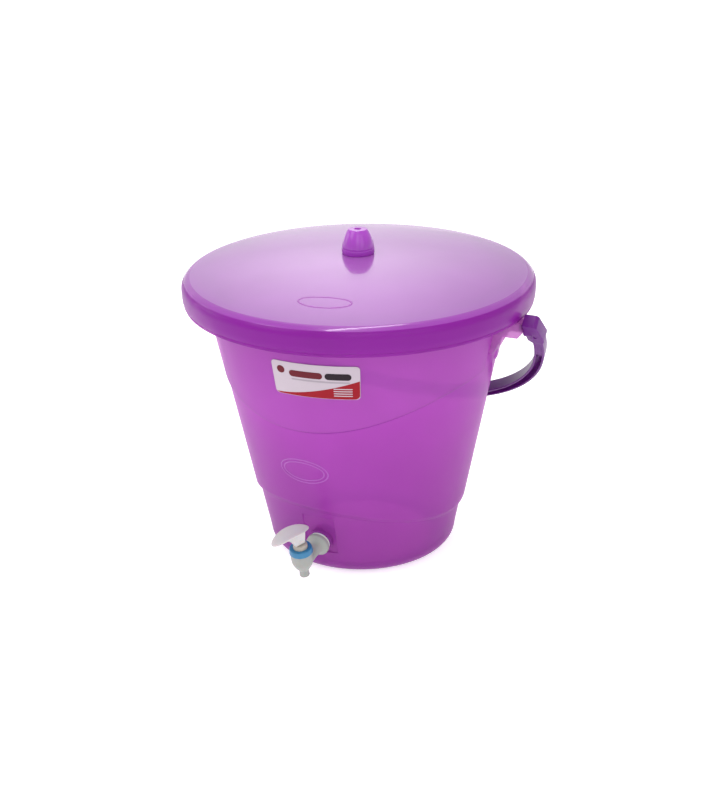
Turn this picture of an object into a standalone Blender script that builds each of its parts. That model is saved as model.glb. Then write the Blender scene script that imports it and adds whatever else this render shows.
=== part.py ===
"""A translucent plastic bucket with an overhanging lid, a swinging bail handle and a push tap.

Metres, +Z up. The origin is the centre of the base, on the surface that the bucket stands on.
The tap points along -Y and the bail swings about an axis along X.
"""

import math

import bmesh
import bpy
from mathutils import Matrix, Vector

# Bucket wall: outer radius = WALL_RADIUS + WALL_TAPER * height.
WALL_RADIUS = 0.1158
WALL_TAPER = 0.198
WALL_THICKNESS = 0.0024
BAND_RISE = 0.0018  # how far the upper band stands out of the wall
TUCK_DEPTH = 0.0040  # how far the foot of the bucket is set in
RIM_TOP = 0.3334
RIM_RADIUS = 0.1915
RIM_UNDERSIDE = 0.3250
LIP_BOTTOM = 0.3170
LIP_THICKNESS = 0.0022
CORNER_RADIUS = 0.020
FOOT_RECESS = 0.0030
FOOT_RING = 0.012

# Ears that carry the bail.
PIVOT_HEIGHT = 0.3000
EAR_REACH = 0.2066
EAR_TOP = 0.3100
EAR_BOTTOM = 0.2910
EAR_HALF_WIDTH = 0.0130
EAR_PLATE = 0.0030
EAR_FLAT_HALF_WIDTH = 0.020  # the upper band stops this far either side of an ear
PIVOT_HOLE_RADIUS = 0.0041

# Lid.
LID_RADIUS = 0.2085
LID_TOP = 0.3670
LID_CROWN = 0.0205  # fall of the dome from its centre to LID_CROWN_RADIUS
LID_CROWN_RADIUS = 0.200
LID_THICKNESS = 0.0022
SKIRT_BOTTOM = 0.3135
SKIRT_RADIUS = 0.2055
LID_RIBS = 9
LID_RIB_PHASE = -4.0
LID_SPIGOT_RADIUS = 0.1765
BOSS_RADIUS = 0.0060
BOSS_HEIGHT = 0.0150

# Knob and its screw.
KNOB_HEIGHT = 0.0285
KNOB_BASE_RADIUS = 0.0190
KNOB_TOP_RADIUS = 0.0115
SCREW_HEAD_RADIUS = 0.0034

# Bail: an arch of constant section that leans back at rest.
BAIL_INNER_X = 0.2150
BAIL_INNER_REACH = 0.2185
BAIL_THICKNESS = 0.0120
BAIL_WIDTH = 0.0160
BAIL_TAIL = 0.0215
SOLID_ARM = 13.0  # degrees of the arch, from each pivot, with no open channel
BAIL_END_INNER = 0.2092
BAIL_END_OUTER = 0.2290
KNUCKLE_RADIUS = 0.0085
BAIL_LEAN = math.radians(46.0)
PIVOT_PIN_RADIUS = 0.0040

# Tap. It leans with the wall. Heights and depths below are in its own frame: the origin is the
# middle of its hole on the outer face of the pad, -Y points out of the wall, +Z runs up the wall.
WALL_LEAN = math.atan(WALL_TAPER)
TAP_FRAME = (0.0, -0.1185, 0.0460)
TAP_AXIS_Y = -0.0500
TAP_TURN = math.radians(-30.0)  # the lever is turned this far round the tap's axis
PAD_HALF_WIDTH = 0.0205
PAD_BOTTOM = -0.0165
PAD_TOP = 0.0350
PAD_THICKNESS = 0.0028
SHANK_RADIUS = 0.0080
SHANK_HOLE_RADIUS = 0.0084
LEVER_PIN_HEIGHT = 0.0390
PADDLE_HALF_WIDTH = 0.0112
PADDLE_HALF_LENGTH = 0.0250
PADDLE_TILT = math.radians(2.0)  # the outer end of the paddle is lower

# Label on the upper band.
LABEL_CENTRE = 8.0
LABEL_WIDTH = 0.100
LABEL_BOTTOM = 0.2500
LABEL_TOP = 0.2920
LABEL_THICKNESS = 0.0004

GASKET = 0.0030
TAP_BOSS = 0.0045
TAP_BOSS_RADIUS = 0.0150
GAP = 0.0003  # between pieces that touch
RING_STEPS = 64

PART = "fermenting_bucket"
CUTTERS = "cutters"


# ---------------------------------------------------------------- scene, materials and helpers


def clear_scene():
    for obj in list(bpy.data.objects):
        bpy.data.objects.remove(obj, do_unlink=True)
    for name in (PART, CUTTERS):
        collection = bpy.data.collections.new(name)
        bpy.context.scene.collection.children.link(collection)


def material(name, colour, roughness, metallic=0.0):
    mat = bpy.data.materials.get(name) or bpy.data.materials.new(name)
    mat.use_nodes = True
    shader = mat.node_tree.nodes["Principled BSDF"]
    shader.inputs["Base Color"].default_value = (*colour, 1.0)
    shader.inputs["Roughness"].default_value = roughness
    shader.inputs["Metallic"].default_value = metallic
    mat.diffuse_color = (*colour, 1.0)
    return mat


def add_object(name, mesh, mat=None):
    """A visible part when it has a material, and a cutter when it has none."""
    obj = bpy.data.objects.new(name, mesh)
    bpy.data.collections[PART if mat else CUTTERS].objects.link(obj)
    if mat:
        mesh.materials.append(mat)
    else:
        obj.hide_render = True
        obj.display_type = "WIRE"
    return obj


def object_from_bmesh(name, bm, mat=None):
    bmesh.ops.recalc_face_normals(bm, faces=bm.faces)
    mesh = bpy.data.meshes.new(name)
    bm.to_mesh(mesh)
    bm.free()
    shade_round(mesh)
    return add_object(name, mesh, mat)


def shade_round(mesh):
    mesh.shade_smooth()
    mesh.set_sharp_from_angle(angle=math.radians(35.0))


def turned(name, profile, mat=None, steps=32, closed=False):
    """A profile of (radius, height) points, turned about Z. It runs down its outer side."""
    mesh = bpy.data.meshes.new(name)
    count = len(profile)
    edges = [(i, i + 1) for i in range(count - 1)]
    if closed:
        edges.append((count - 1, 0))
    mesh.from_pydata([(r, 0.0, z) for r, z in profile], edges, [])
    obj = add_object(name, mesh, mat)
    screw = obj.modifiers.new("turn", "SCREW")
    screw.angle = math.radians(360.0)
    screw.steps = steps
    screw.render_steps = steps
    screw.use_merge_vertices = True
    screw.merge_threshold = 0.00001
    screw.use_smooth_shade = True
    return obj


def box(name, low, high, mat=None):
    bm = bmesh.new()
    bmesh.ops.create_cube(bm, size=1.0)
    size = Vector(high) - Vector(low)
    middle = (Vector(high) + Vector(low)) / 2
    bmesh.ops.scale(bm, vec=size, verts=bm.verts)
    bmesh.ops.translate(bm, vec=middle, verts=bm.verts)
    return object_from_bmesh(name, bm, mat)


def rod(name, radius, start, end, mat=None, sides=24):
    """A cylinder from the point start to the point end."""
    start, end = Vector(start), Vector(end)
    bm = bmesh.new()
    bmesh.ops.create_cone(
        bm, cap_ends=True, segments=sides, radius1=radius, radius2=radius,
        depth=(end - start).length,
    )
    turn = Vector((0, 0, 1)).rotation_difference(end - start).to_matrix().to_4x4()
    bmesh.ops.transform(bm, matrix=Matrix.Translation((start + end) / 2) @ turn, verts=bm.verts)
    return object_from_bmesh(name, bm, mat)


def prism(name, outline, half_width, mat=None, middle=0.0):
    """An outline of points in one plane (x, y, z), made thick by half_width either side along Y."""
    bm = bmesh.new()
    front = [bm.verts.new((x, middle - half_width, z)) for x, z in outline]
    face = bm.faces.new(front)
    made = bmesh.ops.extrude_face_region(bm, geom=[face])
    moved = [v for v in made["geom"] if isinstance(v, bmesh.types.BMVert)]
    bmesh.ops.translate(bm, vec=(0.0, 2 * half_width, 0.0), verts=moved)
    return object_from_bmesh(name, bm, mat)


def combine(obj, other, operation):
    modifier = obj.modifiers.new(f"{operation.lower()} {other.name}", "BOOLEAN")
    modifier.operation = operation
    modifier.solver = "EXACT"
    modifier.object = other


def cut(obj, *others):
    for other in others:
        combine(obj, other, "DIFFERENCE")


def join(obj, *others):
    for other in others:
        combine(obj, other, "UNION")


def arc(centre, radius, start, end, count):
    """Points (r, z) on an arc, from the angle start to the angle end in degrees."""
    angles = [math.radians(start + (end - start) * i / (count - 1)) for i in range(count)]
    return [(centre[0] + radius * math.cos(a), centre[1] + radius * math.sin(a)) for a in angles]


def lofted(name, rings, mat=None, closed=False):
    """A solid through rings of points. Open ends are closed by a fan to the ring's middle."""
    bm = bmesh.new()
    loops = [[bm.verts.new(point) for point in ring] for ring in rings]
    count = len(loops[0])
    pairs = list(zip(loops, loops[1:]))
    if closed:
        pairs.append((loops[-1], loops[0]))
    for upper, lower in pairs:
        for i in range(count):
            j = (i + 1) % count
            bm.faces.new((upper[i], upper[j], lower[j], lower[i]))
    if not closed:
        for ring, loop in ((rings[0], loops[0]), (rings[-1], loops[-1])):
            middle = bm.verts.new(sum((Vector(p) for p in ring), Vector()) / count)
            for i in range(count):
                bm.faces.new((loop[i], loop[(i + 1) % count], middle))
    return object_from_bmesh(name, bm, mat)


# ---------------------------------------------------------------- bucket


def wall_radius(height):
    return WALL_RADIUS + WALL_TAPER * height


def band_edge(angle):
    """Height of the lower edge of the raised band. The angle is from -Y towards +X."""
    return 0.2240 - 0.0228 * math.cos(2 * angle) + 0.0040 * math.sin(angle)


def tuck_edge(angle):
    """Height of the line below which the foot of the bucket is set in."""
    tilt = 0.0130 * math.cos(angle + math.radians(12.0))
    swell = 0.0090 * math.cos(2 * angle + math.radians(20.0))
    return 0.0700 + tilt + swell


def band_rise(angle, height):
    """The band stops beside each ear."""
    across = wall_radius(height) * math.cos(angle)
    return BAND_RISE if abs(across) > EAR_FLAT_HALF_WIDTH else 0.0


def wall_section(angle, inset):
    """Points (radius, height) down the wall from under the rim to the foot, moved in by inset."""
    band, tuck = band_edge(angle), tuck_edge(angle)
    points = []
    for height in (RIM_UNDERSIDE, (RIM_UNDERSIDE + band) / 2, band + 0.0010):
        points.append((wall_radius(height) + band_rise(angle, height), height))
    for height in (band - 0.0010, tuck + 0.0120):
        points.append((wall_radius(height), height))
    points.append((wall_radius(tuck + 0.0040) - 0.0008, tuck + 0.0040))
    points.append((wall_radius(tuck) - TUCK_DEPTH * 0.7, tuck))
    points.append((wall_radius(tuck - 0.0030) - TUCK_DEPTH, tuck - 0.0030))
    foot = CORNER_RADIUS + WALL_THICKNESS
    points.append((wall_radius(foot) - TUCK_DEPTH, foot))
    return [(radius - inset, height) for radius, height in points]


def corner_section(inset):
    """The rounded corner at the foot, down to the face that the bucket stands on."""
    corner_radius = CORNER_RADIUS - inset
    centre = (wall_radius(CORNER_RADIUS) - TUCK_DEPTH - CORNER_RADIUS, CORNER_RADIUS)
    return arc(centre, corner_radius, -8.0, -90.0, 6)


def around(section_at):
    """Rings of points, one for each point of the section, all the way round the axis."""
    sections = []
    for step in range(RING_STEPS):
        angle = 2 * math.pi * step / RING_STEPS
        across, along = math.sin(angle), -math.cos(angle)
        sections.append([(r * across, r * along, z) for r, z in section_at(angle)])
    return [list(ring) for ring in zip(*sections)]


def outer_section(angle):
    lip_inner = RIM_RADIUS - LIP_THICKNESS
    rim = [(RIM_RADIUS - 0.002, RIM_TOP), (RIM_RADIUS, RIM_TOP - 0.002), (RIM_RADIUS, LIP_BOTTOM)]
    rim += [(lip_inner, LIP_BOTTOM), (lip_inner, RIM_UNDERSIDE)]
    corner = corner_section(0.0)
    ring_inner = corner[-1][0] - FOOT_RING
    foot = [(ring_inner, 0.0), (ring_inner - FOOT_RECESS, FOOT_RECESS)]
    return rim + wall_section(angle, 0.0) + corner + foot


def cavity_section(angle):
    wall = wall_section(angle, WALL_THICKNESS)
    mouth = wall_radius(RIM_TOP) + BAND_RISE - WALL_THICKNESS
    top = [(mouth, RIM_TOP + 0.010), (mouth, RIM_TOP)]
    corner = [(r, max(z, FOOT_RECESS + WALL_THICKNESS)) for r, z in corner_section(WALL_THICKNESS)]
    return top + wall + corner[1:4]


def ear_outline(side):
    """Outline (x, z) of an ear: a shelf with a chamfered corner, and a web down the wall."""
    outline = [
        (0.150, EAR_TOP), (EAR_REACH, EAR_TOP), (EAR_REACH, EAR_BOTTOM + 0.0066),
        (EAR_REACH - 0.0043, EAR_BOTTOM), (0.1850, EAR_BOTTOM), (0.1725, 0.2680), (0.150, 0.2680),
    ]
    return [(side * x, z) for x, z in outline]


def make_bucket(plastic, tap_frame):
    bucket = lofted("bucket", around(outer_section), plastic)
    recess = box(
        "tap_recess", (-PAD_HALF_WIDTH, -0.040, PAD_BOTTOM), (PAD_HALF_WIDTH, 0.0, PAD_TOP)
    )
    recess.parent = tap_frame
    cut(bucket, recess)
    for side in (-1, 1):
        join(bucket, prism(f"ear_block_{side}", ear_outline(side), EAR_HALF_WIDTH))
    cavity = lofted("cavity", around(cavity_section))
    pad = box(
        "tap_pad",
        (-PAD_HALF_WIDTH - WALL_THICKNESS, -0.040, PAD_BOTTOM - WALL_THICKNESS),
        (PAD_HALF_WIDTH + WALL_THICKNESS, PAD_THICKNESS, PAD_TOP + WALL_THICKNESS),
    )
    pad.parent = tap_frame
    cut(cavity, pad)
    cut(bucket, cavity)
    pocket_half = EAR_HALF_WIDTH - 0.0025
    for side in (-1, 1):
        ends = sorted((side * 0.1785, side * (EAR_REACH - EAR_PLATE)))
        pocket = box(
            f"ear_pocket_{side}",
            (ends[0], -pocket_half, 0.2600),
            (ends[1], pocket_half, EAR_TOP - 0.0025),
        )
        pivot_hole = rod(
            f"pivot_hole_{side}", PIVOT_HOLE_RADIUS,
            (side * 0.200, 0.0, PIVOT_HEIGHT), (side * 0.215, 0.0, PIVOT_HEIGHT), sides=32,
        )
        cut(bucket, pocket, pivot_hole)
    boss = rod("tap_boss", TAP_BOSS_RADIUS, (0.0, -TAP_BOSS, 0.0), (0.0, 0.0014, 0.0))
    boss.parent = tap_frame
    join(bucket, boss)
    tap_hole = rod("tap_hole", SHANK_HOLE_RADIUS, (0.0, -0.010, 0.0), (0.0, 0.020, 0.0))
    tap_hole.parent = tap_frame
    cut(bucket, tap_hole)
    return bucket


# ---------------------------------------------------------------- lid and knob


def dome_height(radius):
    return LID_TOP - LID_CROWN * (radius / LID_CROWN_RADIUS) ** 2


def lid_profile():
    """Closed section of the lid: out over the dome, down the skirt, back up the inside."""
    edge_radius = 0.0130
    edge_centre = (LID_RADIUS - edge_radius, dome_height(0.197) - edge_radius)
    outer = [(0.0, LID_TOP)]
    outer += [(r, dome_height(r)) for r in (0.040, 0.080, 0.115, 0.145, 0.170, 0.188)]
    outer += arc(edge_centre, edge_radius, 78.0, 0.0, 6)
    outer += [(LID_RADIUS - 0.0004, 0.3240), (SKIRT_RADIUS + 0.0012, SKIRT_BOTTOM + 0.0036)]
    outer += [(SKIRT_RADIUS, SKIRT_BOTTOM), (SKIRT_RADIUS - LID_THICKNESS, SKIRT_BOTTOM)]
    inner = [(SKIRT_RADIUS - LID_THICKNESS + 0.0008, SKIRT_BOTTOM + 0.0040), (0.2059, 0.3245)]
    inner += arc(edge_centre, edge_radius - LID_THICKNESS, 0.0, 78.0, 5)
    inner += [(r, dome_height(r) - LID_THICKNESS) for r in (0.185, 0.160, 0.120, 0.070)]
    inner += [(0.0, LID_TOP - LID_THICKNESS)]
    return outer + inner


def spigot_profile():
    """The ring under the dome that drops into the mouth of the bucket."""
    outer, inner = LID_SPIGOT_RADIUS, LID_SPIGOT_RADIUS - 0.0020
    top = dome_height(outer) - LID_THICKNESS / 2
    return [(inner, top), (outer, top), (outer, 0.3270), (inner, 0.3270)]


def make_lid(plastic):
    lid = turned("lid", lid_profile(), plastic, steps=RING_STEPS)
    join(lid, turned("lid_spigot", spigot_profile(), steps=RING_STEPS, closed=True))
    rib_top = dome_height(0.190) - LID_THICKNESS / 2
    for number in range(LID_RIBS):
        rib = box(
            f"lid_rib_{number}", (-0.0010, 0.1755, RIM_TOP + GAP), (0.0010, 0.2025, rib_top - 0.004)
        )
        angle = math.radians(LID_RIB_PHASE + 360.0 * number / LID_RIBS) + math.pi
        rib.rotation_euler = (0.0, 0.0, angle)
        join(lid, rib)
    boss = rod("lid_boss", BOSS_RADIUS, (0, 0, LID_TOP - 0.001), (0, 0, LID_TOP + BOSS_HEIGHT))
    join(lid, boss)
    pilot = rod(
        "boss_pilot", 0.0021, (0, 0, LID_TOP + 0.001), (0, 0, LID_TOP + BOSS_HEIGHT + 0.005),
        sides=16,
    )
    cut(lid, pilot)
    return lid


def knob_profile():
    """Closed section of the hollow knob, with a screw hole and a counterbore in its top."""
    base = LID_TOP + GAP
    top = base + KNOB_HEIGHT
    bulge = 0.0022
    steps = 7
    side = []
    for i in range(steps):
        t = i / (steps - 1)
        r = KNOB_TOP_RADIUS + (KNOB_BASE_RADIUS - KNOB_TOP_RADIUS) * t
        side.append((r + bulge * math.sin(math.pi * t), top - 0.0008 - (KNOB_HEIGHT - 0.0008) * t))
    crown = [(KNOB_TOP_RADIUS - 0.0012, top)]
    inside = [(0.0160, base), (0.0150, base + 0.010), (0.0110, base + BOSS_HEIGHT + 0.002)]
    inside += [(0.0022, base + BOSS_HEIGHT + 0.002), (0.0022, top - 0.0050)]
    counterbore = [(0.0038, top - 0.0050), (0.0038, top)]
    return crown + side + inside + counterbore


def make_knob(plastic):
    return turned("lid_knob", knob_profile(), plastic, closed=True)


def make_knob_screw(steel):
    """Pan head in the counterbore, shank down into the boss of the lid."""
    top = LID_TOP + GAP + KNOB_HEIGHT
    seat = top - 0.0050 + GAP
    tip = LID_TOP + 0.0040
    profile = [
        (0.0, seat + 0.0024), (0.0018, seat + 0.0023), (0.0029, seat + 0.0017),
        (SCREW_HEAD_RADIUS, seat + 0.0007), (SCREW_HEAD_RADIUS, seat), (0.0017, seat),
        (0.0017, tip + 0.002), (0.0, tip),
    ]
    screw = turned("knob_screw", profile, steel, steps=20)
    slot = box("screw_slot", (-0.0005, -0.004, seat + 0.0012), (0.0005, 0.004, seat + 0.004))
    cut(screw, slot)
    return screw


# ---------------------------------------------------------------- bail handle


def bail_rings():
    """Rings of a channel section around the arch, in the bail's own upright plane."""
    half_width = BAIL_WIDTH / 2
    wall, floor = 0.0028, 0.0040
    outer_x, outer_reach = BAIL_INNER_X + BAIL_THICKNESS, BAIL_INNER_REACH + BAIL_THICKNESS
    rings = []
    stops = [4.5 * i for i in range(41)] + [SOLID_ARM, SOLID_ARM + 0.4]
    stops += [180.0 - SOLID_ARM, 180.0 - SOLID_ARM - 0.4]
    for degrees in sorted(stops):
        is_solid = min(degrees, 180.0 - degrees) < SOLID_ARM + 0.2
        bed = 0.0005 - half_width if is_solid else half_width - floor
        section = [
            (0.0, half_width), (BAIL_THICKNESS, half_width), (BAIL_THICKNESS, -half_width),
            (BAIL_THICKNESS - wall, -half_width), (BAIL_THICKNESS - wall, bed),
            (wall, bed), (wall, -half_width), (0.0, -half_width),
        ]
        angle = math.radians(degrees)
        inner = Vector((BAIL_INNER_X * math.cos(angle), BAIL_INNER_REACH * math.sin(angle), 0.0))
        outer = Vector((outer_x * math.cos(angle), outer_reach * math.sin(angle), 0.0))
        out = (outer - inner).normalized()
        rings.append([inner + out * across + Vector((0, 0, up)) for across, up in section])
    return rings


def bail_end_outline(half_x):
    """Outline (out, along) of an end block, thinner at its tail."""
    return [
        (-half_x, -BAIL_TAIL), (half_x - 0.0060, -BAIL_TAIL), (half_x - 0.0030, -BAIL_TAIL + 0.003),
        (half_x, 0.0100), (half_x - 0.0004, 0.0140), (half_x - 0.0026, 0.0200),
        (-half_x + 0.0054, 0.0200), (-half_x, 0.0130),
    ]


def make_bail(plastic, pivot):
    """The arch lies in its local XY plane: local X is the pivot axis and +Y points to the grip."""
    bail = lofted("bail_handle", bail_rings(), plastic)
    half_width = BAIL_WIDTH / 2
    for side in (-1, 1):
        middle_x = side * (BAIL_END_INNER + BAIL_END_OUTER) / 2
        half_x = (BAIL_END_OUTER - BAIL_END_INNER) / 2
        bm = bmesh.new()
        outline = bail_end_outline(half_x)
        face = bm.faces.new([bm.verts.new((x, y, -half_width)) for x, y in outline])
        made = bmesh.ops.extrude_face_region(bm, geom=[face])
        moved = [v for v in made["geom"] if isinstance(v, bmesh.types.BMVert)]
        bmesh.ops.translate(bm, vec=(0.0, 0.0, BAIL_WIDTH), verts=moved)
        if side < 0:
            bmesh.ops.scale(bm, vec=(-1.0, 1.0, 1.0), verts=bm.verts)
        bmesh.ops.translate(bm, vec=(middle_x, 0.0, 0.0), verts=bm.verts)
        block = object_from_bmesh(f"bail_end_{side}", bm)
        boss = rod(
            f"bail_knuckle_{side}", KNUCKLE_RADIUS, (side * 0.2072, 0, 0), (side * 0.2160, 0, 0)
        )
        pin = rod(
            f"bail_pin_{side}", PIVOT_PIN_RADIUS, (side * 0.2005, 0, 0), (side * 0.2160, 0, 0),
            sides=32,
        )
        for piece in (block, boss, pin):
            piece.parent = pivot
        join(bail, block, boss, pin)
    bail.parent = pivot
    return bail


# ---------------------------------------------------------------- label


def make_label(paper):
    """A thin sheet bent round the upper band. The band is a cone, so the sheet is one too."""
    middle = (LABEL_BOTTOM + LABEL_TOP) / 2
    inner = BAND_RISE + 0.00035
    half_angle = LABEL_WIDTH / 2 / wall_radius(middle)
    columns = 12
    rings = []
    for i in range(columns + 1):
        angle = math.radians(LABEL_CENTRE) + half_angle * (2 * i / columns - 1)
        ring = []
        for offset, height in (
            (inner, LABEL_BOTTOM), (inner, LABEL_TOP),
            (inner + LABEL_THICKNESS, LABEL_TOP), (inner + LABEL_THICKNESS, LABEL_BOTTOM),
        ):
            radius = wall_radius(height) + offset
            ring.append((radius * math.sin(angle), -radius * math.cos(angle), height))
        rings.append(ring)
    return lofted("front_label", rings, paper)


# ---------------------------------------------------------------- tap


def along_neck(obj, frame):
    """Turns a piece made about Z so that its +Z end points out of the wall."""
    obj.rotation_euler = (math.radians(90.0), 0.0, 0.0)
    obj.parent = frame
    return obj


def on_tap_axis(obj, frame):
    obj.location = (0.0, TAP_AXIS_Y, 0.0)
    obj.parent = frame
    return obj


def washer_profile(inner, outer, bottom, top):
    return [(inner, top), (outer, top), (outer, bottom), (inner, bottom)]


def make_tap_body(plastic, frame):
    """A bulb with a spout below and an open top, on a neck with a flange and a shank."""
    bulb = [(0.0, 0.0230), (0.0100, 0.0230), (0.0100, 0.0200), (0.0122, 0.0195)]
    bulb += [(0.0128, 0.0150), (0.0127, 0.0090), (0.0118, 0.0045), (0.0098, 0.0002)]
    bulb += [(0.0074, -0.0034), (0.0062, -0.0052), (0.0058, -0.0066), (0.0056, -0.0126)]
    bulb += [(0.0059, -0.0133), (0.0058, -0.0142), (0.0, -0.0142)]
    body = on_tap_axis(turned("tap_body", bulb, plastic), frame)
    face = TAP_BOSS + GAP + GASKET + GAP
    neck = [(0.0, 0.0460), (0.0068, 0.0460), (0.0070, 0.0270), (0.0080, face + 0.0110)]
    neck += [(0.0104, face + 0.0068), (0.0128, face + 0.0050), (0.0139, face + 0.0036)]
    neck += [(0.0142, face), (SHANK_RADIUS, face), (SHANK_RADIUS, -0.0180), (0.0074, -0.0186)]
    neck += [(0.0, -0.0186)]
    join(body, along_neck(turned("tap_neck", neck), frame))
    chamber = [(0.0, 0.0400), (0.0088, 0.0400), (0.0088, 0.0080), (0.0082, 0.0040)]
    chamber += [(0.0066, 0.0000), (0.0056, -0.0008), (0.0040, -0.0018), (0.0040, -0.0250)]
    chamber += [(0.0, -0.0250)]
    cut(body, on_tap_axis(turned("tap_chamber", chamber), frame))
    bore = [(0.0, 0.0480), (0.0042, 0.0480), (0.0042, 0.0200), (0.0055, 0.0100)]
    bore += [(0.0055, -0.0300), (0.0, -0.0300)]
    cut(body, along_neck(turned("tap_bore", bore, steps=20), frame))
    return body


def make_tap_seals(silicone, frame):
    """The two gaskets that clamp the wall."""
    outer_face = TAP_BOSS + GAP
    outer = washer_profile(SHANK_HOLE_RADIUS, 0.0130, outer_face, outer_face + GASKET)
    inner_face = -PAD_THICKNESS - GAP
    inner = washer_profile(SHANK_HOLE_RADIUS, 0.0138, inner_face - GASKET, inner_face)
    along_neck(turned("tap_outer_gasket", outer, silicone, steps=28, closed=True), frame)
    along_neck(turned("tap_inner_gasket", inner, silicone, steps=28, closed=True), frame)


def make_back_nut(plastic, frame):
    """Hexagonal nut with a washer face, on the shank inside the bucket."""
    face = -PAD_THICKNESS - GAP - GASKET - GAP
    bore = SHANK_RADIUS + GAP
    washer = washer_profile(0.0050, 0.0140, face - 0.0020, face)
    nut = along_neck(turned("tap_back_nut", washer, plastic, steps=28, closed=True), frame)
    bm = bmesh.new()
    bmesh.ops.create_cone(
        bm, cap_ends=True, segments=6, radius1=0.0136, radius2=0.0136, depth=0.0070
    )
    bmesh.ops.translate(bm, vec=(0, 0, face - 0.0050), verts=bm.verts)
    join(nut, along_neck(object_from_bmesh("nut_hexagon", bm), frame))
    hole = rod("nut_hole", bore, (0, -face - 0.01, 0), (0, 0.03, 0), sides=28)
    hole.parent = frame
    cut(nut, hole)
    return nut


def make_valve(plastic, silicone, steel, frame, lever_frame):
    """Plug, stem, seal ring and spring, all on the tap's upright axis."""
    plug = [(0.0011, 0.0042), (0.0048, 0.0040), (0.0053, 0.0032), (0.0053, -0.0005)]
    plug += [(0.0032, -0.0012), (0.0011, -0.0012)]
    on_tap_axis(turned("tap_valve_plug", plug, silicone, steps=24, closed=True), frame)
    stem = [(0.0, 0.0355), (0.0020, 0.0355), (0.0020, 0.0297), (0.0010, 0.0295)]
    stem += [(0.0010, 0.0280), (0.0020, 0.0278), (0.0020, 0.0100), (0.0046, 0.0096)]
    stem += [(0.0046, 0.0046), (0.0008, 0.0045), (0.0008, -0.0004), (0.0, -0.0004)]
    spindle = on_tap_axis(turned("tap_stem", stem, plastic, steps=20), frame)
    tongue = box("stem_tongue", (-0.0017, -0.0026, -0.0050), (0.0017, 0.0026, 0.0028))
    pin_hole = rod("stem_pin_hole", 0.0012, (-0.005, 0, 0), (0.005, 0, 0), sides=16)
    for piece in (tongue, pin_hole):
        piece.parent = lever_frame
    join(spindle, tongue)
    cut(spindle, pin_hole)
    ring = []
    for i in range(8):
        angle = math.radians(90.0 - 45.0 * i)
        ring.append((0.00158 + 0.00045 * math.cos(angle), 0.02875 + 0.0005 * math.sin(angle)))
    on_tap_axis(turned("tap_stem_oring", ring, silicone, steps=20, closed=True), frame)
    make_spring(steel, frame)


def make_spring(steel, frame):
    """A compression spring between the collar of the stem and the ceiling of the bonnet."""
    bottom, top, radius, wire, turns = 0.0104, 0.0268, 0.0042, 0.00035, 6
    per_turn = 12
    count = turns * per_turn + 1
    curve = bpy.data.curves.new("tap_spring", "CURVE")
    curve.dimensions = "3D"
    curve.bevel_depth = wire
    curve.bevel_resolution = 1
    curve.use_fill_caps = True
    spline = curve.splines.new("POLY")
    spline.points.add(count - 1)
    for i, point in enumerate(spline.points):
        angle = 2 * math.pi * i / per_turn
        height = bottom + wire + (top - bottom - 2 * wire) * i / (count - 1)
        point.co = (radius * math.cos(angle), radius * math.sin(angle), height, 1.0)
    curve.materials.append(steel)
    spring = bpy.data.objects.new("tap_spring", curve)
    bpy.data.collections[PART].objects.link(spring)
    return on_tap_axis(spring, frame)


def make_bonnet(plastic, frame):
    """Cap over the chamber: a flange on the rim of the body and a tube that guides the stem."""
    profile = [(0.0021, 0.0325), (0.0068, 0.0325), (0.0081, 0.0315), (0.0084, 0.0256)]
    profile += [(0.0099, 0.0254), (0.0099, 0.0233), (0.0085, 0.0233), (0.0085, 0.0195)]
    profile += [(0.0060, 0.0195), (0.0060, 0.0271), (0.0030, 0.0272), (0.0021, 0.0276)]
    return on_tap_axis(turned("tap_bonnet", profile, plastic, closed=True), frame)


def make_collar(plastic, frame):
    """Screw ring that holds the bonnet on the body."""
    profile = [(0.0087, 0.0272), (0.0121, 0.0272), (0.0131, 0.0264), (0.0139, 0.0212)]
    profile += [(0.0139, 0.0202), (0.0130, 0.0199), (0.0103, 0.0203), (0.0103, 0.0257)]
    profile += [(0.0087, 0.0257)]
    return on_tap_axis(turned("tap_collar", profile, plastic, steps=32, closed=True), frame)


def lever_web_outline():
    """Side view (y, z) of the web that joins the paddle to the pin. The pin is the origin."""
    return [
        (0.0048, -0.0058), (0.0058, 0.0000), (0.0070, 0.0080), (0.0050, 0.0116),
        (-0.0210, 0.0100), (-0.0150, 0.0062), (-0.0096, 0.0000), (-0.0080, -0.0058),
    ]


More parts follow.
